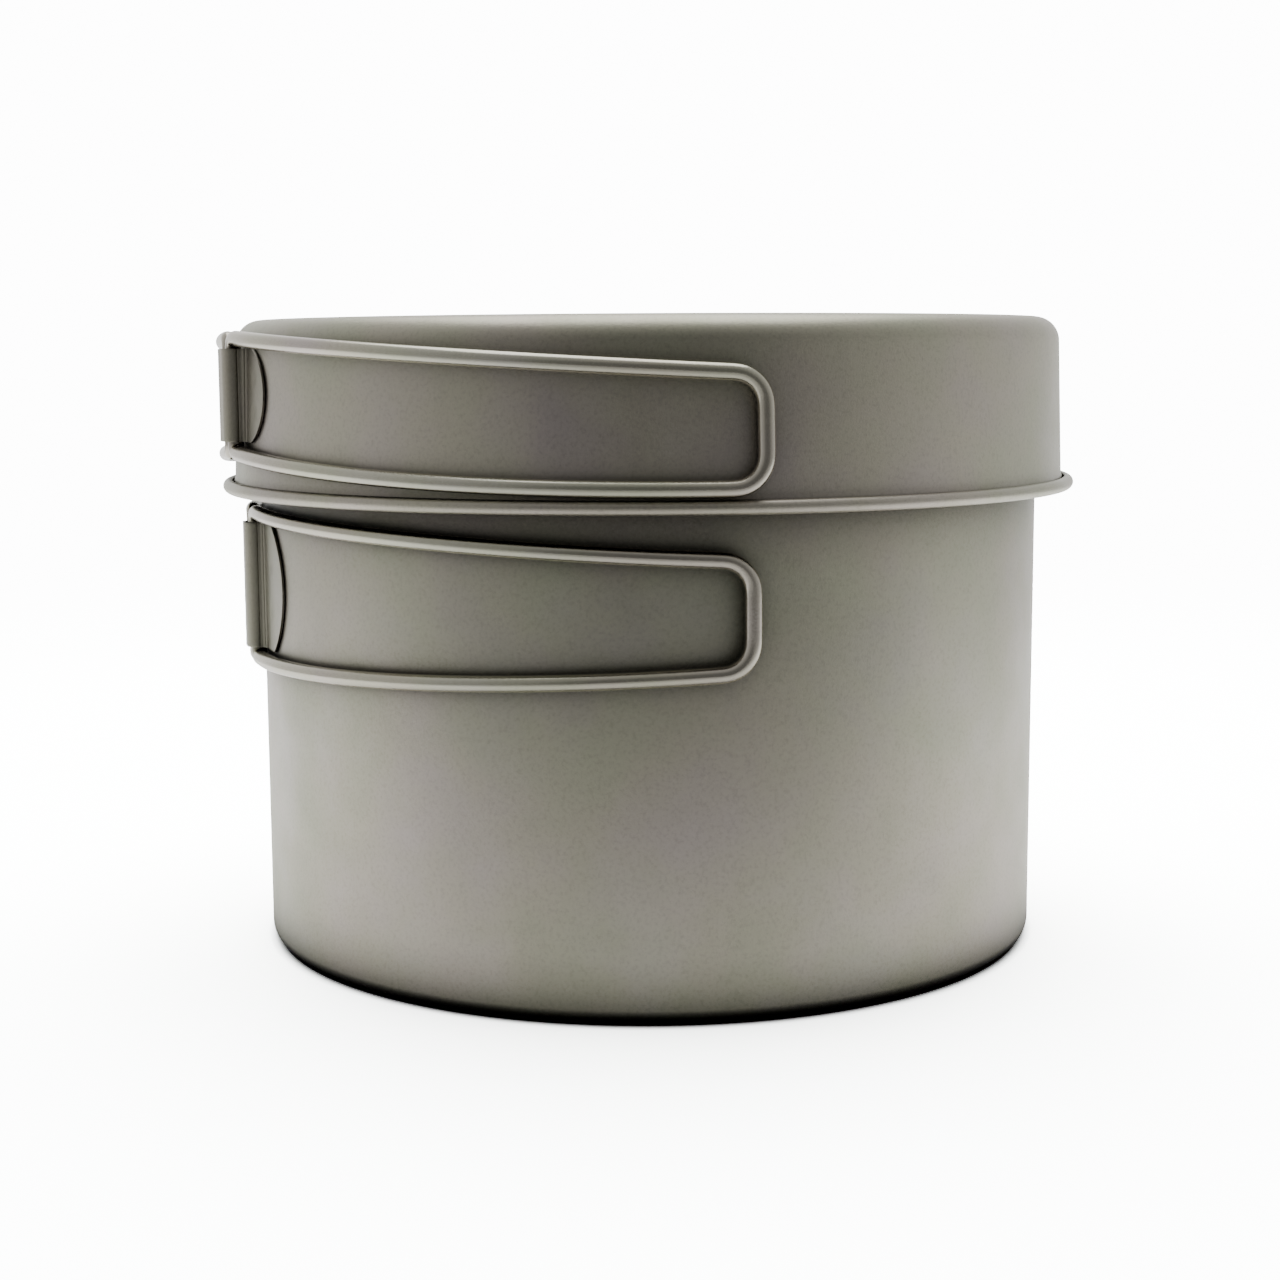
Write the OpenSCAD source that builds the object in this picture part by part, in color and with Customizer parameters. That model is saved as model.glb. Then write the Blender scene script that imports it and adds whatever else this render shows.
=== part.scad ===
// Nesting cook set for hiking: a deep pot with folding wire handles and an
// inverted pan, with its own folding wire handles, that closes the pot as a lid.
// Origin on the pot axis at the resting face, +Z up, pot bracket centred on -X.

/* [Pot] */
// outer radius of the pot wall
pot_r = 65.3; // [50:0.1:90]
// height of the pot from resting face to rim
pot_h = 102.2; // [92:0.1:130]
// outer radius of the corner between base and wall
pot_corner = 2.5; // [2:0.5:10]
// sheet thickness of pot and pan
sheet = 0.5; // [0.4:0.05:0.8]
// outer radius of the curled pot rim
pot_curl = 1.0; // [0.9:0.05:1.3]

/* [Pan] */
// height of the pan floor above the resting face when it closes the pot
set_h = 103.4; // [103.2:0.1:134]
// depth of the pan from its floor to the end of its rim
pan_depth = 28.1; // [26:0.1:32]
// outer radius of the pan where the wall meets the floor corner
pan_r = 68.8; // [53.5:0.1:93.5]
// outer radius of the corner between pan floor and wall
pan_corner = 4; // [3:0.25:6]
// outward slope of the pan wall in degrees
pan_draft = 1.8; // [0.5:0.05:3]
// outer radius of the curled pan rim
pan_curl = 1.1; // [1:0.05:1.5]
// how far the pan bracket is turned round from the pot bracket in degrees
pan_turn = 6.7; // [0:0.1:20]

/* [Wire handles] */
// diameter of the round handle wire
wire_d = 2.5; // [2:0.1:2.6]
// radius of the tight bend into the bracket, on the wire centre line
root_bend = 1.6; // [1.55:0.05:2]
// radius of the bends at the closed end of a handle, on the wire centre line
tip_bend = 4.6; // [3:0.1:6]
// length of each wire end inside its bracket
stub_len = 6; // [4:0.5:6.5]
// distance of each hinge axis from the middle plane of the bracket
hinge_gap = 1.35; // [1.35:0.05:2.5]
// distance of the hinge axes from the pot wall
pot_hinge_off = 1.4; // [1.4:0.05:2.6]
// distance of the hinge axes from the pan wall, at the middle of the bracket
pan_hinge_off = 1.7; // [1.7:0.05:2.2]
// running clearance round the wire in the bracket, on the radius
hinge_fit = 0.2; // [0.05:0.05:0.3]

/* [Brackets] */
// sheet thickness of the brackets
plate = 0.55; // [0.5:0.05:0.8]
// height of the middle of the pot bracket
pot_br_z = 60.5; // [40:0.5:61]
// half height of the pot bracket
pot_br_half = 10.2; // [8:0.1:11]
// half width of the pot bracket, out to the ends of its rounded flanges
pot_br_wide = 15.4; // [14:0.1:20]
// how far the rounded ends of the pot bracket bulge
pot_br_bulge = 5.3; // [4:0.1:8]
// height of the middle of the pan bracket
pan_br_z = 91.5; // [90:0.1:92]
// half height of the pan bracket
pan_br_half = 7.3; // [7:0.1:7.5]
// half width of the pan bracket, out to the ends of its rounded flanges
pan_br_wide = 12.3; // [11:0.1:18]
// how far the rounded ends of the pan bracket bulge
pan_br_bulge = 5.6; // [4:0.1:6]

/* [Handle arms] */
// height of the pot handle arms above and below the bracket middle, at the root
pot_arm_rise = 11.9; // [11.8:0.1:13]
// lean of the pot handle arms towards each other in degrees
pot_arm_lean = 2.85; // [0:0.05:3.5]
// height of the upper pan handle arm at the root, above the bracket middle
pan_arm_up = 8.9; // [8.9:0.1:9.1]
// height of the lower pan handle arm at the root, below the bracket middle
pan_arm_down = 9.1; // [8.9:0.1:9.1]
// droop of the upper pan handle arm in degrees
pan_lean_up = 3.4; // [2:0.05:3.5]
// droop of the lower pan handle arm in degrees
pan_lean_down = 4; // [2:0.05:4]
// angle round the pot from bracket to handle tip in degrees
pot_reach = 87.3; // [70:0.1:95]
// angle round the pan from bracket to handle tip in degrees
pan_reach = 81.5; // [70:0.1:95]
// how much farther from the wall the pot handle arms stand a quarter turn on
pot_bow = 0.9; // [0:0.1:2]
// how much farther from the wall the pan handle arms stand a quarter turn on
pan_bow = 0.6; // [0.5:0.1:2]

/* [Hidden] */
wire_r = wire_d / 2;
pan_cx = pan_r - pan_corner;
pan_cz = set_h - pan_corner;
pan_rim_z = set_h - pan_depth;
pan_wall_len = pan_cz - pan_rim_z - pan_curl;
pan_mid_r = pan_r + (pan_cz - pan_br_z) * tan(pan_draft);
pan_curl_r = pan_r + pan_wall_len * tan(pan_draft) - 0.2 + pan_curl;

ball_r = wire_r + 0.03;
joint_gap = 0.1;

// Ring section of a sheet of the given outer radius, between two angles.
module sheet_arc(r, t, a0, a1) {
    difference() {
        circle(r = r, $fn = 96);
        circle(r = r - t, $fn = 96);
        rotate(a1)
            translate([-2 * r, 0])
                square([4 * r, 2 * r]);
        rotate(a0)
            translate([-2 * r, -2 * r])
                square([4 * r, 2 * r]);
    }
}

// Curled sheet edge: a ring section open only between two angles.
module curl(r, t, open0, open1) {
    difference() {
        circle(r = r, $fn = 96);
        circle(r = r - t, $fn = 96);
        polygon([
            [0, 0],
            [3 * r * cos(open0), 3 * r * sin(open0)],
            [3 * r * cos(open1), 3 * r * sin(open1)]
        ]);
    }
}

module pot_shell() {
    color([0.52, 0.51, 0.49])
        rotate_extrude($fn = 192) {
            square([pot_r - pot_corner, sheet]);
            translate([pot_r - pot_corner, pot_corner])
                sheet_arc(pot_corner, sheet, -90, 0);
            translate([pot_r - sheet, pot_corner])
                square([sheet, pot_h - pot_curl - pot_corner]);
            translate([pot_r - sheet + pot_curl - 0.05, pot_h - pot_curl])
                curl(pot_curl, sheet * 0.8, 205, 250);
        }
}

// Drafted pan wall in section. It stands a hair outside the corner's arc and
// runs a little way up into it, so that the two merge.
module pan_wall() {
    translate([pan_cx, pan_cz])
        rotate(pan_draft)
            translate([pan_corner - sheet + 0.01, -pan_wall_len])
                square([sheet, pan_wall_len + 0.1]);
}

module pan_shell() {
    color([0.54, 0.53, 0.51])
        rotate_extrude($fn = 192) {
            translate([0, set_h - sheet])
                square([pan_cx, sheet]);
            intersection() {
                translate([pan_cx, pan_cz])
                    sheet_arc(pan_corner, sheet, pan_draft, 90);
                translate([pan_cx, pan_cz])
                    square([pan_corner, pan_corner]);
            }
            pan_wall();
            translate([pan_curl_r, pan_rim_z + pan_curl])
                curl(pan_curl, sheet * 0.8, 105, 150);
        }
}

// Rounded outline of a bracket, seen square on: straight top and bottom edges
// and a bulging end on each side.
module bracket_outline(half, wide, bulge) {
    ro = (half * half + bulge * bulge) / (2 * bulge);
    intersection() {
        square([2 * wide, 2 * half], center = true);
        union() {
            square([2 * (wide - ro), 2 * half], center = true);
            translate([wide - ro, 0])
                circle(r = ro, $fn = 128);
            translate([ro - wide, 0])
                circle(r = ro, $fn = 128);
        }
    }
}

// Prism of the outline standing on the -X side.
module outline_prism(r, half, wide, bulge, z) {
    translate([-r - 10, 0, z])
        rotate([90, 0, 90])
            linear_extrude(20)
                bracket_outline(half, wide, bulge);
}

// Section of the raised channel in plan: round shoulders about both hinge axes.
module channel_plan(r, off, grow) {
    rr = wire_r + hinge_fit + grow;
    for (s = [-1, 1])
        translate([-r - off, s * hinge_gap])
            circle(r = rr, $fn = 64);
    translate([-r - off - rr, -hinge_gap])
        square([2 * rr, 2 * hinge_gap]);
    translate([-r - off, -hinge_gap - rr])
        square([off + 2, 2 * (hinge_gap + rr)]);
}

module channel(r, off, z, half, grow) {
    translate([0, 0, z - half])
        linear_extrude(2 * half)
            channel_plan(r, off, grow);
}

module pot_bracket() {
    color([0.5, 0.49, 0.47])
        difference() {
            union() {
                intersection() {
                    cylinder(r = pot_r + plate, h = pot_h, $fn = 192);
                    outline_prism(pot_r, pot_br_half, pot_br_wide, pot_br_bulge, pot_br_z);
                }
                channel(pot_r, pot_hinge_off, pot_br_z, pot_br_half, plate);
            }
            translate([0, 0, -1])
                cylinder(r = pot_r, h = pot_h + 2, $fn = 192);
            channel(pot_r, pot_hinge_off, pot_br_z, pot_br_half + 1, 0);
        }
}

// Round body that follows the sloping pan wall at the bracket, moved outward by
// the given distance.
module wall_body(out) {
    translate([-pan_mid_r, 0, pan_br_z])
        rotate([0, pan_draft, 0])
            translate([pan_mid_r, 0, -30])
                cylinder(r = pan_mid_r + out, h = 60, $fn = 192);
}

module pan_bracket() {
    color([0.52, 0.51, 0.49])
        rotate([0, 0, pan_turn])
            difference() {
                union() {
                    intersection() {
                        wall_body(plate);
                        outline_prism(pan_mid_r, pan_br_half, pan_br_wide, pan_br_bulge, pan_br_z);
                    }
                    channel(pan_mid_r, pan_hinge_off, pan_br_z, pan_br_half, plate);
                }
                wall_body(0.02);
                channel(pan_mid_r, pan_hinge_off, pan_br_z, pan_br_half + 1, 0);
            }
}

// Point on a level arc of radius r about the Z axis.
function on_arc(r, a, z) = [r * cos(a), r * sin(a), z];

// The same point after the arc leans by angle t about a level line through p,
// with its high side towards the polar angle h.
function leaned(q, p, t, h) =
    let (d = q - p, e = [cos(h), sin(h), 0], s = d * e)
    p + d - s * e + s * (cos(t) * e + [0, 0, sin(t)]);

// Each joint of the wire is a ball a hair wider than the wire, and the pieces
// that meet in it stop just short of each other inside the ball.
module joint_ball(p, tip = 0, heading = 0) {
    translate(p)
        rotate([0, tip, heading])
            sphere(r = ball_r, $fn = 48);
}

// Straight upright wire between two heights, its ends inside balls.
module rod(p, z0, z1) {
    translate([p[0], p[1], z0 + joint_gap])
        cylinder(r = wire_r, h = z1 - z0 - 2 * joint_gap, $fn = 48);
}

// Bend in an upright plane about the centre p with the given heading; the
// angles are measured in that plane from the heading upwards.
module bend(p, heading, r, a0, a1) {
    cut = joint_gap / r * 57.3;
    translate(p)
        rotate([0, 0, heading])
            rotate([90, 0, 0])
                rotate([0, 0, a0 + cut])
                    rotate_extrude(angle = a1 - a0 - 2 * cut, $fn = 128)
                        translate([r, 0])
                            circle(r = wire_r, $fn = 48);
}

// One arm of a handle: stub in the bracket, root bend, leaning arc and tip bend.
// dir is 1 for the arm above the bracket and -1 for the arm below it.
module arm(hx, z, lean, high, reach, dir) {
    hr = norm([hx, hinge_gap]);
    ra = sqrt(hr * hr - root_bend * root_bend);
    a0 = 180 + atan2(hinge_gap, hx) + atan2(root_bend, ra);
    a1 = 180 + reach - atan2(tip_bend, ra);
    cut = joint_gap / ra * 57.3;
    p0 = on_arc(ra, a0, z);
    p1 = leaned(on_arc(ra, a1, z), p0, lean, high);
    bend(p0 - [0, 0, dir * root_bend], a0 - 90, root_bend, dir > 0 ? 0 : -90, dir > 0 ? 90 : 0);
    joint_ball(p0, 90, a0 + 90);
    translate(p0)
        rotate(a = lean, v = [sin(high), -cos(high), 0])
            translate([-p0[0], -p0[1], 0])
                rotate([0, 0, a0 + cut])
                    rotate_extrude(angle = a1 - a0 - 2 * cut, $fn = 192)
                        translate([ra, 0])
                            circle(r = wire_r, $fn = 48);
    joint_ball(p1, 90, a1 + 90);
    bend(p1 - [0, 0, dir * tip_bend], a1 + 90, tip_bend, dir > 0 ? 0 : -90, dir > 0 ? 90 : 0);
}

// End of the tip bend of an arm, where the cross wire starts.
function tip_end(hx, z, lean, high, reach, dir) =
    let (
        hr = norm([hx, hinge_gap]),
        ra = sqrt(hr * hr - root_bend * root_bend),
        a0 = 180 + atan2(hinge_gap, hx) + atan2(root_bend, ra),
        a1 = 180 + reach - atan2(tip_bend, ra),
        p1 = leaned(on_arc(ra, a1, z), on_arc(ra, a0, z), lean, high)
    )
    p1 + tip_bend * [cos(a1 + 90), sin(a1 + 90), -dir];

// Whole handle on the -Y side of the bracket. Its wire ends stand in the bracket
// on one upright hinge axis.
module handle(hx, mid, up, down, lean_up, lean_down, high_up, high_down, reach, half) {
    hinge = [-hx, -hinge_gap, 0];
    top = mid + up - root_bend;
    low = mid - down + root_bend;
    arm(hx, mid + up, lean_up, high_up, reach, 1);
    joint_ball(hinge + [0, 0, top]);
    translate(hinge + [0, 0, mid + half - stub_len])
        cylinder(r = wire_r, h = top - joint_gap - mid - half + stub_len, $fn = 48);
    arm(hx, mid - down, lean_down, high_down, reach, -1);
    joint_ball(hinge + [0, 0, low]);
    translate(hinge + [0, 0, low + joint_gap])
        cylinder(r = wire_r, h = mid - half + stub_len - low - joint_gap, $fn = 48);
    p = tip_end(hx, mid + up, lean_up, high_up, reach, 1);
    q = tip_end(hx, mid - down, lean_down, high_down, reach, -1);
    joint_ball(p);
    rod((p + q) / 2, q[2], p[2]);
    joint_ball(q);
}

// The arcs of the arms are centred a little beyond the vessel's axis, so that
// the handle lies close to the wall at its hinge and stands off it farther on.
module pot_handle() {
    translate([pot_bow, 0, 0])
        handle(pot_r + pot_hinge_off + pot_bow, pot_br_z, pot_arm_rise, pot_arm_rise,
               pot_arm_lean, -pot_arm_lean, 165.2, 165.2, pot_reach, pot_br_half);
}

module pan_handle() {
    translate([pan_bow, 0, 0])
        handle(pan_mid_r + pan_hinge_off + pan_bow, pan_br_z, pan_arm_up, pan_arm_down,
               pan_lean_up, pan_lean_down, 133.5, 73.5, pan_reach, pan_br_half);
}

module pot_handle_front() {
    color([0.6, 0.59, 0.57])
        pot_handle();
}

module pot_handle_rear() {
    color([0.6, 0.59, 0.57])
        mirror([0, 1, 0])
            pot_handle();
}

module pan_handle_front() {
    color([0.62, 0.61, 0.59])
        rotate([0, 0, pan_turn])
            pan_handle();
}

module pan_handle_rear() {
    color([0.62, 0.61, 0.59])
        rotate([0, 0, pan_turn])
            mirror([0, 1, 0])
                pan_handle();
}

pot_shell();
pot_bracket();
pot_handle_front();
pot_handle_rear();
pan_shell();
pan_bracket();
pan_handle_front();
pan_handle_rear();
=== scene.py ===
"""Titanium cook set: a deep pot closed by an inverted pan, each with a pair of
folding wire handles in a sheet bracket. Metres, in the CAD model's frame."""
from math import atan2, cos, hypot, pi, radians, sin, sqrt, tan

import bmesh
import bpy
from mathutils import Matrix, Vector


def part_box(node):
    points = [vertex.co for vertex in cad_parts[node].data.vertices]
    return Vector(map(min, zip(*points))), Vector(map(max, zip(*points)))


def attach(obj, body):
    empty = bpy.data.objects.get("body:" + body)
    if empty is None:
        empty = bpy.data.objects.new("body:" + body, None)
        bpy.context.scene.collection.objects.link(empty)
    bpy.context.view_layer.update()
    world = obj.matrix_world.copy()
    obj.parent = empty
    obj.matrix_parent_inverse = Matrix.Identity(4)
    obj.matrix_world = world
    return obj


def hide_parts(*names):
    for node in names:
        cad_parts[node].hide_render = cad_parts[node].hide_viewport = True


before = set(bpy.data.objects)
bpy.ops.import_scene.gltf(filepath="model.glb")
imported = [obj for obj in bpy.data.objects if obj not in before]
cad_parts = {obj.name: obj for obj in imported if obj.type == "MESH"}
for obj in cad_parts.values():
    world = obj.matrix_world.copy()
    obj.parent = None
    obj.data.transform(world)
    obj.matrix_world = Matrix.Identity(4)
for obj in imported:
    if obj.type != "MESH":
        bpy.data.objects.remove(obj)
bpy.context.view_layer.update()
MM = 0.001

# --------------------------------------------------------------- dimensions
POT_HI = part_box("pot_shell")[1]
PAN_LO, PAN_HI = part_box("pan_shell")
POT_BR_LO, POT_BR_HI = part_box("pot_bracket")
PAN_BR_LO, PAN_BR_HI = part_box("pan_bracket")

SHEET = 0.5 * MM                      # wall of pot and pan
PLATE = 0.55 * MM                     # sheet of the brackets
THIN = 0.36 * MM                      # the same sheet where it is pressed flat
WIRE_R = 1.25 * MM
POT_R = 65.3 * MM                     # outside of the pot wall
POT_CORNER = 2.5 * MM
POT_H = POT_HI[2]
POT_CURL = 1.0 * MM
SET_H = PAN_HI[2]                     # pan floor when it closes the pot
PAN_RIM_Z = PAN_LO[2]
PAN_R = 68.8 * MM                     # outside of the pan wall at the floor corner
PAN_CORNER = 4.0 * MM
PAN_DRAFT = radians(1.8)
PAN_CURL = 1.1 * MM
PAN_CZ = SET_H - PAN_CORNER
PAN_TURN = radians(6.7)
POT_HINGE_OFF = 1.4 * MM              # hinge axes from the pot wall
PAN_HINGE_OFF = 1.7 * MM
POT_BOW = 0.9 * MM                    # the arms' arcs are centred beyond the axis
PAN_BOW = 0.6 * MM
HINGE_FIT = 0.2 * MM
HINGE_GAP = 1.35 * MM
ROOT_BEND = 1.6 * MM
TIP_BEND = 4.6 * MM
STUB = 6.0 * MM
POT_ARM = 11.9 * MM                   # arms from the bracket's middle, at the root
POT_LEAN = radians(2.85)              # the pot's arms lean towards each other
POT_HIGH = radians(165.2)             # side towards which an arm's arc is high
POT_REACH = radians(87.3)             # angle from the bracket to the tip
PAN_ARM_UP, PAN_ARM_DOWN = 8.9 * MM, 9.1 * MM
PAN_LEAN_UP, PAN_LEAN_DOWN = radians(3.4), radians(4.0)
PAN_HIGH_UP, PAN_HIGH_DOWN = radians(133.5), radians(73.5)
PAN_REACH = radians(81.5)
POT_ROLL, PAN_ROLL = 0.2 * MM, 0.22 * MM      # curl's radius less its middle line's
POT_LIP, PAN_LIP = 0.42 * MM, 0.44 * MM       # sheet in the curls
POT_CURL_STEPS, PAN_CURL_STEPS = 26, 28


def wall_r(z):
    """Outer radius of the pan wall at a height."""
    return PAN_R + (PAN_CZ - z) * tan(PAN_DRAFT)


# ------------------------------------------------------------- mesh helpers
def make(name, bm, smooth=40):
    """A new object from a bmesh, shaded smooth except at sharp edges."""
    bmesh.ops.remove_doubles(bm, verts=bm.verts, dist=1e-7)
    bmesh.ops.recalc_face_normals(bm, faces=bm.faces)
    me = bpy.data.meshes.new(name)
    bm.to_mesh(me)
    bm.free()
    ob = bpy.data.objects.new(name, me)
    bpy.context.scene.collection.objects.link(ob)
    for p in me.polygons:
        p.use_smooth = True
    me.set_sharp_from_angle(angle=radians(smooth))
    return ob


def lathe(name, loop, n=256, smooth=40):
    """Turns a closed section of (radius, height) points about the Z axis."""
    bm = bmesh.new()
    rings = []
    for r, z in loop:
        if r < 1e-6:
            rings.append([bm.verts.new((0, 0, z))])
        else:
            rings.append([bm.verts.new((r * cos(2 * pi * i / n), r * sin(2 * pi * i / n), z))
                          for i in range(n)])
    for k, a in enumerate(rings):
        b = rings[(k + 1) % len(rings)]
        if len(a) == 1 and len(b) == 1:
            continue
        for i in range(n):
            j = (i + 1) % n
            if len(a) == 1:
                bm.faces.new((a[0], b[j], b[i]))
            elif len(b) == 1:
                bm.faces.new((a[i], a[j], b[0]))
            else:
                bm.faces.new((a[i], a[j], b[j], b[i]))
    return make(name, bm, smooth)


def sheet_section(path, t):
    """Closed section of a sheet whose middle line is path, t(i) thick at its
    point i. The first point is on the axis; the free end is rounded."""
    left, right = [], []
    for i, (x, z) in enumerate(path):
        x0, z0 = path[max(i - 1, 0)]
        x1, z1 = path[min(i + 1, len(path) - 1)]
        d = hypot(x1 - x0, z1 - z0)
        nx, nz = -(z1 - z0) / d, (x1 - x0) / d
        left.append((max(x + nx * t(i) / 2, 0.0), z + nz * t(i) / 2))
        right.append((max(x - nx * t(i) / 2, 0.0), z - nz * t(i) / 2))
    (xa, za), (xb, zb) = left[-1], right[-1]
    cx, cz, rr = (xa + xb) / 2, (za + zb) / 2, hypot(xa - xb, za - zb) / 2
    a0 = atan2(za - cz, xa - cx)
    cap = [(cx + rr * cos(a0 - pi * k / 6), cz + rr * sin(a0 - pi * k / 6)) for k in range(1, 6)]
    return left + cap + right[::-1]


def arc(cx, cz, r, a0, a1, n):
    """n + 1 points on an arc from the angle a0 to a1."""
    return [(cx + r * cos(a0 + (a1 - a0) * k / n), cz + r * sin(a0 + (a1 - a0) * k / n))
            for k in range(n + 1)]


def tube(name, pts, r, n=28):
    """Round wire along pts, with domed ends."""
    pts = [Vector(p) for p in pts]
    bm = bmesh.new()
    tang = [(pts[min(i + 1, len(pts) - 1)] - pts[max(i - 1, 0)]).normalized()
            for i in range(len(pts))]
    side = tang[0].orthogonal().normalized()
    rings = []
    for i, p in enumerate(pts):
        if i:
            q = tang[i - 1].rotation_difference(tang[i])
            side = q @ side
        side = (side - tang[i] * side.dot(tang[i])).normalized()
        up = tang[i].cross(side)
        rows = [(0.0, r)]
        if i == 0:
            rows = [(-r * 0.45 * sin(a), r * (0.55 + 0.45 * cos(a))) for a in
                    (radians(90), radians(60), radians(30), 0)]
        if i == len(pts) - 1:
            rows = [(r * 0.45 * sin(a), r * (0.55 + 0.45 * cos(a))) for a in
                    (0, radians(30), radians(60), radians(90))]
        for off, rr in rows:
            c = p + tang[i] * off
            rings.append([bm.verts.new(c + side * (rr * cos(2 * pi * k / n))
                                       + up * (rr * sin(2 * pi * k / n))) for k in range(n)])
    for a, b in zip(rings, rings[1:]):
        for k in range(n):
            bm.faces.new((a[k], a[(k + 1) % n], b[(k + 1) % n], b[k]))
    bm.faces.new(rings[0][::-1])
    bm.faces.new(rings[-1])
    return make(name, bm, 50)


# -------------------------------------------------------------------- shells
def pot_path():
    """Middle line of the pot's sheet, from the axis out, up and round the curl."""
    h = SHEET / 2
    p = [(0.0, h)] + [(POT_R * f, h) for f in (0.2, 0.4, 0.6, 0.75, 0.85)]
    p += arc(POT_R - POT_CORNER, POT_CORNER, POT_CORNER - h, -pi / 2, 0, 14)
    top = POT_H - POT_CURL
    p += [(POT_R - h, POT_CORNER + (top - 2 * MM - POT_CORNER) * f)
          for f in (0.04, 0.1, 0.25, 0.5, 0.75, 0.9, 0.96, 1.0)]
    rc = POT_CURL - POT_ROLL
    p += arc(POT_R - h + rc, top, rc, pi, pi - radians(285), POT_CURL_STEPS)
    return p


def pan_path():
    """Middle line of the pan's sheet, from its floor down and round the curl."""
    h = SHEET / 2
    cx = PAN_R - PAN_CORNER
    p = [(0.0, SET_H - h)] + [(cx * f, SET_H - h) for f in (0.2, 0.4, 0.6, 0.8, 0.93)]
    p += arc(cx, PAN_CZ, PAN_CORNER - h, pi / 2, 0, 16)
    curl_z = PAN_RIM_Z + PAN_CURL
    flare = curl_z + 2.0 * MM
    for f in (0.05, 0.15, 0.35, 0.6, 0.85, 1.0):
        z = PAN_CZ + (flare - PAN_CZ) * f
        p.append((wall_r(z) - h, z))
    rc = PAN_CURL - PAN_ROLL
    x0 = wall_r(flare) - h
    x1 = PAN_HI[0] - PAN_CURL - rc
    for k in range(1, 8):
        f = k / 8
        s = f * f * (3 - 2 * f)
        p.append((x0 + (x1 - x0) * s, flare + (curl_z - flare) * f))
    p += arc(x1 + rc, curl_z, rc, pi, pi + radians(282), PAN_CURL_STEPS)
    return p


def build_shells():
    pp = pot_path()
    pot_wall = len(pp) - POT_CURL_STEPS
    pot = lathe("pot_vessel", sheet_section(pp, lambda i: SHEET if i < pot_wall else POT_LIP))
    qq = pan_path()
    pan_wall = len(qq) - PAN_CURL_STEPS
    pan = lathe("pan_vessel", sheet_section(qq, lambda i: SHEET if i < pan_wall else PAN_LIP))
    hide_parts("pot_shell")
    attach(pot, "pot")
    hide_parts("pan_shell")
    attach(pan, "pan")
    return pot, pan


# ------------------------------------------------------------------- handles
def leaned(q, p, t, h):
    """Point q after leaning by t about a level line through p, high side towards h."""
    d, e = q - p, Vector((cos(h), sin(h), 0))
    s = d.dot(e)
    return p + d - s * e + s * (cos(t) * e + Vector((0, 0, sin(t))))


def arm_points(hx, z, lean, high, reach, way):
    """Middle line of one arm from the top of its stub to the end of its tip bend."""
    hr = hypot(hx, HINGE_GAP)
    ra = sqrt(hr * hr - ROOT_BEND * ROOT_BEND)
    a0 = pi + atan2(HINGE_GAP, hx) + atan2(ROOT_BEND, ra)
    a1 = pi + reach - atan2(TIP_BEND, ra)
    p0 = Vector((ra * cos(a0), ra * sin(a0), z))
    back = Vector((cos(a0 - pi / 2), sin(a0 - pi / 2), 0))
    out = []
    for k in range(9):
        a = radians(90) * k / 8
        out.append(p0 + back * (ROOT_BEND * cos(a))
                   + Vector((0, 0, way * ROOT_BEND * (sin(a) - 1))))
    steps = 90
    for k in range(1, steps + 1):
        a = a0 + (a1 - a0) * k / steps
        out.append(leaned(Vector((ra * cos(a), ra * sin(a), z)), p0, lean, high))
    p1 = out[-1]
    ahead = Vector((cos(a1 + pi / 2), sin(a1 + pi / 2), 0))
    for k in range(1, 15):
        a = radians(90) * k / 14
        out.append(p1 + ahead * (TIP_BEND * sin(a))
                   + Vector((0, 0, way * TIP_BEND * (cos(a) - 1))))
    return out


def handle_points(hx, bow, mid, up, down, lean_up, lean_down, high_up, high_down, reach, half,
                  side, turn):
    """Middle line of a whole handle, from the end of one stub to the other's.
    side is 1 for the front handle and -1 for its mirror image."""
    hx += bow
    top = arm_points(hx, mid + up, lean_up, high_up, reach, 1)
    low = arm_points(hx, mid - down, lean_down, high_down, reach, -1)
    s0, s1 = top[0], low[0]
    stub_a = [Vector((s0.x, s0.y, mid + half - STUB + (s0.z - mid - half + STUB) * k / 6))
              for k in range(6)]
    stub_b = [Vector((s1.x, s1.y, s1.z + (mid - half + STUB - s1.z) * k / 6))
              for k in range(1, 7)]
    a, b = top[-1], low[-1]
    cross = [a.lerp(b, k / 10) for k in range(1, 10)]
    pts = stub_a + top + cross + low[::-1] + stub_b
    n = len(stub_a)
    for _ in range(3):
        new = list(pts)
        for i in range(n + 6, len(pts) - n - 6):
            new[i] = pts[i] * 0.5 + (pts[i - 1] + pts[i + 1]) * 0.25
        pts = new
    rot = Matrix.Rotation(turn, 3, "Z")
    return [rot @ Vector((p.x + bow, p.y * side, p.z)) for p in pts]


POT_BR = dict(mid=(POT_BR_LO[2] + POT_BR_HI[2]) / 2, half=(POT_BR_HI[2] - POT_BR_LO[2]) / 2)
PAN_BR = dict(mid=(PAN_BR_LO[2] + PAN_BR_HI[2]) / 2, half=(PAN_BR_HI[2] - PAN_BR_LO[2]) / 2)


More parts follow.
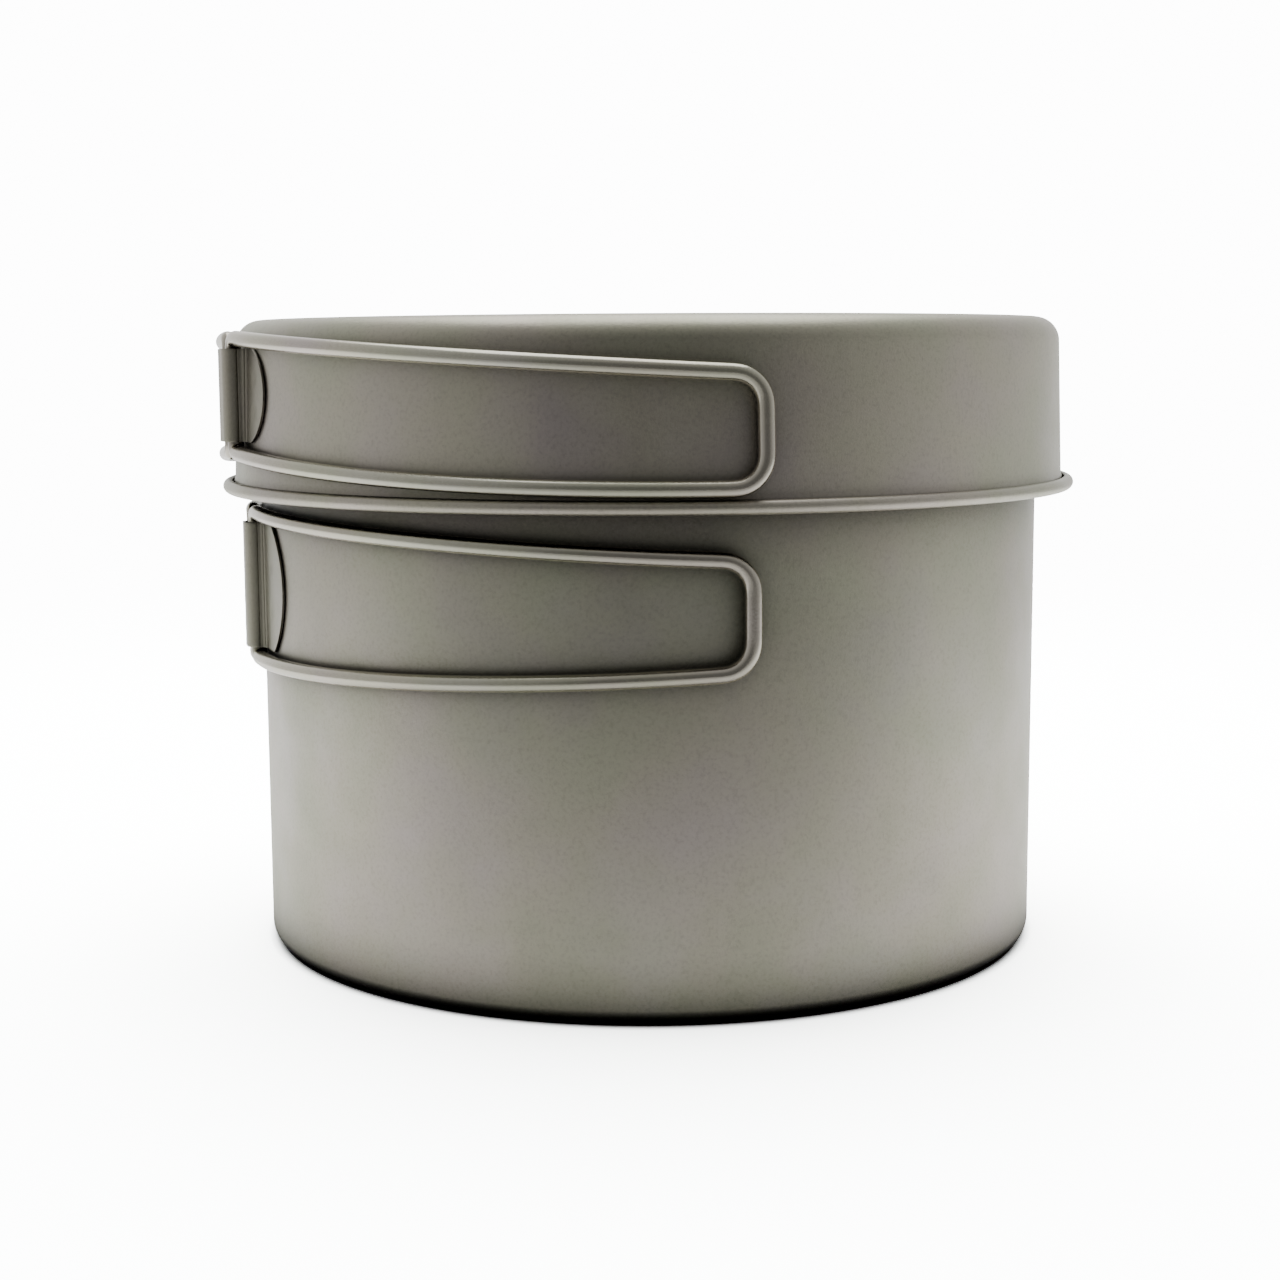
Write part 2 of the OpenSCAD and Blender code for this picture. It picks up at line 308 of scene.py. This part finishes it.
def build_handles():
    out = []
    for side, name, node, body in ((1, "pot_wire_front", "pot_handle_front", "pot_front_grip"),
                                   (-1, "pot_wire_rear", "pot_handle_rear", "pot_rear_grip")):
        pts = handle_points(POT_R + POT_HINGE_OFF, POT_BOW, POT_BR["mid"], POT_ARM, POT_ARM,
                            POT_LEAN, -POT_LEAN, POT_HIGH, POT_HIGH,
                            POT_REACH, POT_BR["half"], side, 0.0)
        ob = tube(name, pts, WIRE_R)
        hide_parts(node)
        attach(ob, body)
        out.append(ob)
    mid = PAN_BR["mid"]
    for side, name, node, body in ((1, "pan_wire_front", "pan_handle_front", "pan_front_grip"),
                                   (-1, "pan_wire_rear", "pan_handle_rear", "pan_rear_grip")):
        pts = handle_points(wall_r(mid) + PAN_HINGE_OFF, PAN_BOW, mid, PAN_ARM_UP, PAN_ARM_DOWN,
                            PAN_LEAN_UP, PAN_LEAN_DOWN, PAN_HIGH_UP, PAN_HIGH_DOWN,
                            PAN_REACH, PAN_BR["half"], side, PAN_TURN)
        ob = tube(name, pts, WIRE_R)
        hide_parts(node)
        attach(ob, body)
        out.append(ob)
    return out


# ------------------------------------------------------------------ brackets
def bracket_profile(r, stub):
    """Middle line of a bracket in plan, as (sideways, outward) from the wall's
    nearest point, from the middle of the channel to the start of the flange."""
    rr = WIRE_R + HINGE_FIT + PLATE / 2
    prof = [(HINGE_GAP * k / 6, stub + rr) for k in range(6)]
    prof += [(HINGE_GAP + rr * sin(a), stub + rr * cos(a)) for a in
             [radians(90) * k / 12 for k in range(13)]]
    side = HINGE_GAP + rr
    foot, ledge, step = 0.85 * MM, 0.35 * MM, 0.28 * MM

    def wall(y):
        return sqrt(r * r - y * y) - r

    def gap(y):
        e = min(1.0, max(0.0, (abs(y) - 4.5 * MM) / (5.0 * MM)))
        return THIN / 2 + 0.04 * MM + 0.13 * MM * e * e * (3 - 2 * e)

    y1 = side + foot + ledge + 0.2 * MM
    base = wall(y1) + gap(y1) + step
    drop = stub - base - foot
    for k in range(1, 7):
        f = k / 6
        pinch = 0.10 * MM * sin(pi * f) ** 2
        prof.append((side - pinch, stub - drop * f))
    for k in range(1, 11):
        a = radians(90) * k / 10
        prof.append((side + foot * (1 - cos(a)), base + foot * (1 - sin(a))))
    for k in range(1, 4):
        prof.append((side + foot + ledge * k / 3, base))
    for k in range(1, 6):
        f = k / 5
        prof.append((side + foot + ledge + 0.2 * MM * f, base - step * f * f * (3 - 2 * f)))
    return prof, y1, wall, gap


def outline_half(y, half, wide, bulge):
    """Half height of a bracket at the sideways distance y."""
    ro = (half * half + bulge * bulge) / (2 * bulge)
    yc = wide - ro
    if abs(y) <= yc:
        return half
    return min(half, sqrt(max(ro * ro - (abs(y) - yc) ** 2, 0.0)))


def build_bracket(name, r, stub, mid, half, wide, bulge, turn, draft, welds):
    """Pressed bracket sheet: the channel, the flanges that follow the wall, and
    weld dimples at (sideways, height) on both flanges."""
    prof, y1, wall, gap = bracket_profile(r, stub)
    steps = 44
    for k in range(1, steps + 1):
        f = sin(radians(90) * k / steps)
        y = y1 + (wide - y1) * f
        prof.append((y, wall(y) + gap(y)))
    full = [(-y, x) for y, x in prof[:0:-1]] + prof
    rows = 48
    bm = bmesh.new()
    grid = []
    for y, x in full:
        h = outline_half(y, half, wide, bulge)
        col = []
        for j in range(rows + 1):
            v = -h + 2 * h * j / rows
            dip = 0.0
            for wy, wz in welds:
                d = hypot(abs(y) - wy, v - wz)
                if d < 1.7 * MM:
                    dip += 0.10 * MM * (0.5 + 0.5 * cos(pi * d / (1.7 * MM)))
            flange = min(1.0, max(0.0, (abs(y) - 3.2 * MM) / (1.5 * MM)))
            out = r + x - dip - v * tan(draft) * flange
            col.append(bm.verts.new((-out, y, mid + v)))
        grid.append(col)
    for a, b in zip(grid, grid[1:]):
        for j in range(rows):
            vs = [a[j], b[j], b[j + 1], a[j + 1]]
            bm.faces.new(vs)
    bmesh.ops.rotate(bm, cent=(0, 0, 0), matrix=Matrix.Rotation(turn, 3, "Z"), verts=bm.verts)
    ob = make(name, bm, 60)
    so = ob.modifiers.new("sheet", "SOLIDIFY")
    so.thickness = THIN
    so.offset = 0.0
    be = ob.modifiers.new("edge", "BEVEL")
    be.width = 0.08 * MM
    be.segments = 2
    be.limit_method = "ANGLE"
    be.angle_limit = radians(50)
    return ob


def build_brackets():
    pot = build_bracket("pot_bracket_sheet", POT_R, POT_HINGE_OFF, POT_BR["mid"], POT_BR["half"],
                        15.4 * MM, 5.3 * MM, 0.0, 0.0,
                        [(9.2 * MM, 3.6 * MM), (9.2 * MM, -3.6 * MM)])
    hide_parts("pot_bracket")
    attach(pot, "pot")
    pan = build_bracket("pan_bracket_sheet", wall_r(PAN_BR["mid"]), PAN_HINGE_OFF, PAN_BR["mid"],
                        PAN_BR["half"], 12.3 * MM, 5.6 * MM, PAN_TURN, PAN_DRAFT,
                        [(8.2 * MM, 2.6 * MM), (8.2 * MM, -2.6 * MM)])
    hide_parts("pan_bracket")
    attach(pan, "pan")
    return pot, pan


# ----------------------------------------------------------------- materials
def titanium(name, light, rough, patch=1.0, grain=1.0, seed=0.0, painted_shade=1.0):
    """Matt bead-blasted titanium: warm grey with faint olive and violet clouds,
    a fine blasted grain, and a roughness that varies with both. Painted shade
    from ambient occlusion darkens the colour where other surfaces are near,
    scaled by painted_shade."""
    mat = bpy.data.materials.new(name)
    mat.use_nodes = True
    nt = mat.node_tree
    nt.nodes.clear()
    N = nt.nodes.new
    L = nt.links.new
    out = N("ShaderNodeOutputMaterial")
    bsdf = N("ShaderNodeBsdfPrincipled")
    L(bsdf.outputs[0], out.inputs[0])
    bsdf.inputs["Metallic"].default_value = 1.0
    tc = N("ShaderNodeTexCoord")
    shift = N("ShaderNodeMapping")
    shift.inputs["Location"].default_value = (seed, seed * 0.7, seed * 1.3)
    L(tc.outputs["Object"], shift.inputs["Vector"])

    def noise(scale, detail=2.0, rough_=0.5, vec=None):
        n = N("ShaderNodeTexNoise")
        n.inputs["Scale"].default_value = scale
        n.inputs["Detail"].default_value = detail
        n.inputs["Roughness"].default_value = rough_
        L(vec or shift.outputs[0], n.inputs["Vector"])
        return n

    def ramp(src, stops):
        r = N("ShaderNodeValToRGB")
        el = r.color_ramp.elements
        el[0].position, el[0].color = stops[0][0], (*stops[0][1], 1)
        el[1].position, el[1].color = stops[-1][0], (*stops[-1][1], 1)
        for p, c in stops[1:-1]:
            e = el.new(p)
            e.color = (*c, 1)
        L(src, r.inputs[0])
        return r

    def mix(a, b, fac, kind="MIX"):
        m = N("ShaderNodeMix")
        m.data_type = "RGBA"
        m.blend_type = kind
        if isinstance(fac, float):
            m.inputs[0].default_value = fac
        else:
            L(fac, m.inputs[0])
        L(a, m.inputs[6])
        L(b, m.inputs[7])
        return m

    g = light
    warm = (g * 1.04, g * 0.98, g * 0.80)
    olive = (g * 0.965, g * 0.98, g * 0.745)
    violet = (g * 1.05, g * 0.94, g * 0.89)
    grey = (g * 1.00, g * 0.97, g * 0.85)
    clouds = noise(26.0, 3.0, 0.55)
    tone = ramp(clouds.outputs["Fac"], [(0.30, violet), (0.46, warm), (0.58, olive), (0.74, grey)])
    clouds2 = noise(58.0, 3.0, 0.6)
    tone2 = ramp(clouds2.outputs["Fac"], [(0.34, violet), (0.52, warm), (0.70, olive)])
    base = mix(tone.outputs[0], tone2.outputs[0], 0.4 * patch)
    fine = noise(1900.0, 2.0, 0.6)
    speck = ramp(fine.outputs["Fac"], [(0.30, (0.80, 0.80, 0.80)), (0.5, (0.97, 0.97, 0.97)),
                                       (0.68, (1.0, 1.0, 1.0)), (0.80, (1.0, 1.0, 1.0))])
    base = mix(base.outputs[2], speck.outputs[0], 0.5 * grain, "MULTIPLY")
    # painted shade: ambient occlusion darkens the base colour where other surfaces are near (under
    # the pan's rim, beside the wires, at the foot), by the amount painted_shade gives
    ao = N("ShaderNodeAmbientOcclusion")
    ao.samples = 6
    ao.inputs["Distance"].default_value = 0.011
    shade = N("ShaderNodeMapRange")
    shade.inputs["From Min"].default_value = 0.36
    shade.inputs["From Max"].default_value = 0.95
    shade.inputs["To Min"].default_value = 0.05
    shade.inputs["To Max"].default_value = 1.0
    L(ao.outputs["AO"], shade.inputs["Value"])
    painted_shade_tint = N("ShaderNodeCombineColor")
    for k in range(3):
        L(shade.outputs[0], painted_shade_tint.inputs[k])
    base = mix(base.outputs[2], painted_shade_tint.outputs[0], painted_shade, "MULTIPLY")
    L(base.outputs[2], bsdf.inputs["Base Color"])
    rr = N("ShaderNodeMapRange")
    rr.inputs["From Min"].default_value = 0.3
    rr.inputs["From Max"].default_value = 0.7
    rr.inputs["To Min"].default_value = rough - 0.05
    rr.inputs["To Max"].default_value = rough + 0.05
    L(clouds2.outputs["Fac"], rr.inputs["Value"])
    L(rr.outputs[0], bsdf.inputs["Roughness"])
    grit = noise(3200.0, 3.0, 0.65)
    bump = N("ShaderNodeBump")
    bump.inputs["Strength"].default_value = 0.30 * grain
    bump.inputs["Distance"].default_value = 0.00006
    L(grit.outputs["Fac"], bump.inputs["Height"])
    broad = noise(120.0, 2.0, 0.5)
    bump2 = N("ShaderNodeBump")
    bump2.inputs["Strength"].default_value = 0.10
    bump2.inputs["Distance"].default_value = 0.0004
    L(broad.outputs["Fac"], bump2.inputs["Height"])
    L(bump2.outputs[0], bump.inputs["Normal"])
    L(bump.outputs[0], bsdf.inputs["Normal"])
    return mat


def paint(ob, mat):
    ob.data.materials.clear()
    ob.data.materials.append(mat)


# --------------------------------------------------------------------- stage
def build_floor():
    """Pale round paper that fades out, shaded where the pot's foot meets it."""
    bm = bmesh.new()
    n, rings = 96, [0.0, 0.1, 0.2, 0.4, 0.8, 1.6, 3.0]
    prev = None
    for r in rings:
        cur = [bm.verts.new((0, 0, 0))] if r == 0 else [
            bm.verts.new((r * cos(2 * pi * i / n), r * sin(2 * pi * i / n), 0)) for i in range(n)]
        if prev:
            for i in range(n):
                j = (i + 1) % n
                if len(prev) == 1:
                    bm.faces.new((prev[0], cur[i], cur[j]))
                else:
                    bm.faces.new((prev[i], cur[i], cur[j], prev[j]))
        prev = cur
    ob = make("floor", bm)
    ob.location.z = -0.0001
    mat = bpy.data.materials.new("floor_paper")
    mat.use_nodes = True
    nt = mat.node_tree
    nt.nodes.remove(nt.nodes["Principled BSDF"])
    paper = nt.nodes.new("ShaderNodeBsdfDiffuse")
    lit = nt.nodes.new("ShaderNodeBsdfDiffuse")
    lit.inputs["Color"].default_value = (13.0, 13.4, 13.25, 1)
    ray = nt.nodes.new("ShaderNodeLightPath")
    bsdf = nt.nodes.new("ShaderNodeMixShader")
    nt.links.new(ray.outputs["Is Camera Ray"], bsdf.inputs[0])
    nt.links.new(paper.outputs[0], bsdf.inputs[1])
    nt.links.new(lit.outputs[0], bsdf.inputs[2])
    out = nt.nodes["Material Output"]
    tc = nt.nodes.new("ShaderNodeTexCoord")
    ln = nt.nodes.new("ShaderNodeVectorMath")
    ln.operation = "LENGTH"
    nt.links.new(tc.outputs["Object"], ln.inputs[0])
    # clear from 0.75 m out
    mr = nt.nodes.new("ShaderNodeMapRange")
    mr.interpolation_type = "SMOOTHERSTEP"
    mr.inputs["From Min"].default_value = 0.12
    mr.inputs["From Max"].default_value = 0.75
    nt.links.new(ln.outputs["Value"], mr.inputs["Value"])
    front = nt.nodes.new("ShaderNodeVectorMath")
    front.operation = "DOT_PRODUCT"
    front.inputs[1].default_value = (cos(VIEW_POLAR), sin(VIEW_POLAR), 0.0)
    nt.links.new(tc.outputs["Object"], front.inputs[0])
    # the paper bounces less light on the viewer's side
    bright = nt.nodes.new("ShaderNodeMapRange")
    bright.interpolation_type = "SMOOTHSTEP"
    bright.inputs["From Min"].default_value = 0.0
    bright.inputs["From Max"].default_value = 0.22
    bright.inputs["To Min"].default_value = 1.9
    bright.inputs["To Max"].default_value = 0.55
    nt.links.new(front.outputs["Value"], bright.inputs["Value"])
    # and less close round the foot
    near = nt.nodes.new("ShaderNodeMapRange")
    near.inputs["From Min"].default_value = 0.0645
    near.inputs["From Max"].default_value = 0.0735
    nt.links.new(ln.outputs["Value"], near.inputs["Value"])
    shed = nt.nodes.new("ShaderNodeMath")
    shed.operation = "MULTIPLY"
    nt.links.new(bright.outputs[0], shed.inputs[0])
    nt.links.new(near.outputs[0], shed.inputs[1])
    nt.links.new(shed.outputs[0], paper.inputs["Color"])
    # contact shadow under the pot
    foot = nt.nodes.new("ShaderNodeMapRange")
    foot.inputs["From Min"].default_value = 0.0640
    foot.inputs["From Max"].default_value = 0.0662
    nt.links.new(ln.outputs["Value"], foot.inputs["Value"])
    black = nt.nodes.new("ShaderNodeBsdfDiffuse")
    black.inputs["Color"].default_value = (0.01, 0.01, 0.01, 1)
    under = nt.nodes.new("ShaderNodeMixShader")
    nt.links.new(foot.outputs[0], under.inputs[0])
    nt.links.new(black.outputs[0], under.inputs[1])
    nt.links.new(bsdf.outputs[0], under.inputs[2])
    tr = nt.nodes.new("ShaderNodeBsdfTransparent")
    mx = nt.nodes.new("ShaderNodeMixShader")
    nt.links.new(mr.outputs[0], mx.inputs[0])
    nt.links.new(under.outputs[0], mx.inputs[1])
    nt.links.new(tr.outputs[0], mx.inputs[2])
    nt.links.new(mx.outputs[0], out.inputs[0])
    paint(ob, mat)
    return ob


VIEW_POLAR = radians(255.2)           # side of the set that the camera stands on
CAM_D = 0.371
CAM_Z = 0.0982


def build_camera():
    cam = bpy.data.cameras.new("camera")
    cam.sensor_width = 36.0
    cam.lens = 60.8
    cam.clip_start = 0.01
    ob = bpy.data.objects.new("camera", cam)
    bpy.context.scene.collection.objects.link(ob)
    ob.location = (CAM_D * cos(VIEW_POLAR), CAM_D * sin(VIEW_POLAR), CAM_Z)
    yaw = VIEW_POLAR + pi + radians(0.23)
    pitch = radians(-7.63)
    fwd = Vector((cos(yaw) * cos(pitch), sin(yaw) * cos(pitch), sin(pitch)))
    rot = fwd.to_track_quat("-Z", "Y").to_matrix() @ Matrix.Rotation(radians(-0.3), 3, "Z")
    ob.rotation_euler = rot.to_euler()
    bpy.context.scene.camera = ob
    return ob


def build_world():
    """A white studio with a dark side where the camera stands."""
    w = bpy.data.worlds.new("studio")
    bpy.context.scene.world = w
    w.use_nodes = True
    nt = w.node_tree
    nt.nodes.clear()
    N = nt.nodes.new
    L = nt.links.new
    out = N("ShaderNodeOutputWorld")
    tc = N("ShaderNodeTexCoord")
    dot = N("ShaderNodeVectorMath")
    dot.operation = "DOT_PRODUCT"
    dark = VIEW_POLAR + radians(6.0)
    f = Vector((cos(dark), sin(dark), 0.10)).normalized()
    dot.inputs[1].default_value = f
    L(tc.outputs["Generated"], dot.inputs[0])
    ramp = N("ShaderNodeValToRGB")
    el = ramp.color_ramp.elements
    # brightness at degrees from the middle of the dark side
    glow = [(0, 0.062), (30, 0.080), (45, 0.145), (60, 0.175), (72, 0.22), (85, 0.265),
            (100, 0.30), (115, 0.34), (135, 0.44), (180, 0.75)]
    half = [((1 + cos(radians(t))) / 2, v) for t, v in glow[::-1]]
    el[0].position, el[0].color = half[0][0], (half[0][1],) * 3 + (1,)
    el[1].position, el[1].color = half[-1][0], (half[-1][1],) * 3 + (1,)
    for p, v in half[1:-1]:
        e = el.new(p)
        e.color = (v, v, v, 1)
    mr = N("ShaderNodeMapRange")
    mr.inputs["From Min"].default_value = -1.0
    mr.inputs["From Max"].default_value = 1.0
    L(dot.outputs["Value"], mr.inputs["Value"])
    L(mr.outputs[0], ramp.inputs[0])
    studio = N("ShaderNodeBackground")
    studio.inputs["Strength"].default_value = 2.5
    L(ramp.outputs[0], studio.inputs["Color"])
    plain = N("ShaderNodeBackground")
    plain.inputs["Color"].default_value = (0.985, 0.99, 0.99, 1)
    plain.inputs["Strength"].default_value = 14.0
    lp = N("ShaderNodeLightPath")
    mx = N("ShaderNodeMixShader")
    L(lp.outputs["Is Camera Ray"], mx.inputs[0])
    L(studio.outputs[0], mx.inputs[1])
    L(plain.outputs[0], mx.inputs[2])
    L(mx.outputs[0], out.inputs[0])


def area(name, polar, dist, z, size, watts, aim_z=0.05):
    d = bpy.data.lights.new(name, "AREA")
    d.energy = watts
    d.shape = "RECTANGLE"
    d.size = size
    d.size_y = size
    ob = bpy.data.objects.new(name, d)
    bpy.context.scene.collection.objects.link(ob)
    ob.location = (dist * cos(polar), dist * sin(polar), z)
    to = Vector((0, 0, aim_z)) - ob.location
    ob.rotation_euler = to.to_track_quat("-Z", "Y").to_euler()
    return ob


def build_lights():
    back = VIEW_POLAR + pi
    area("top_soft", back, 0.25, 0.95, 0.9, 6.5)


# ---------------------------------------------------------------------- make
build_camera()
pot, pan = build_shells()
wires = build_handles()
brackets = build_brackets()
# the lightness of each titanium part is tuned to how bright it looks under this light, so these
# copies of one metal differ partly by painted light and shade
TI_POT = titanium("titanium_pot", 0.375, 0.38, grain=1.2, seed=0.11)
TI_PAN = titanium("titanium_pan", 0.42, 0.38, patch=0.8, grain=1.2, seed=0.37, painted_shade=0.6)
TI_BR = titanium("titanium_bracket", 0.33, 0.42, grain=0.7, seed=0.53, painted_shade=0.6)
TI_WIRE = titanium("titanium_wire", 0.47, 0.22, patch=0.6, grain=0.6, seed=0.71, painted_shade=0.35)
paint(pot, TI_POT)
paint(pan, TI_PAN)
for ob in brackets:
    paint(ob, TI_BR)
for ob in wires:
    paint(ob, TI_WIRE)
build_floor()
build_world()
build_lights()
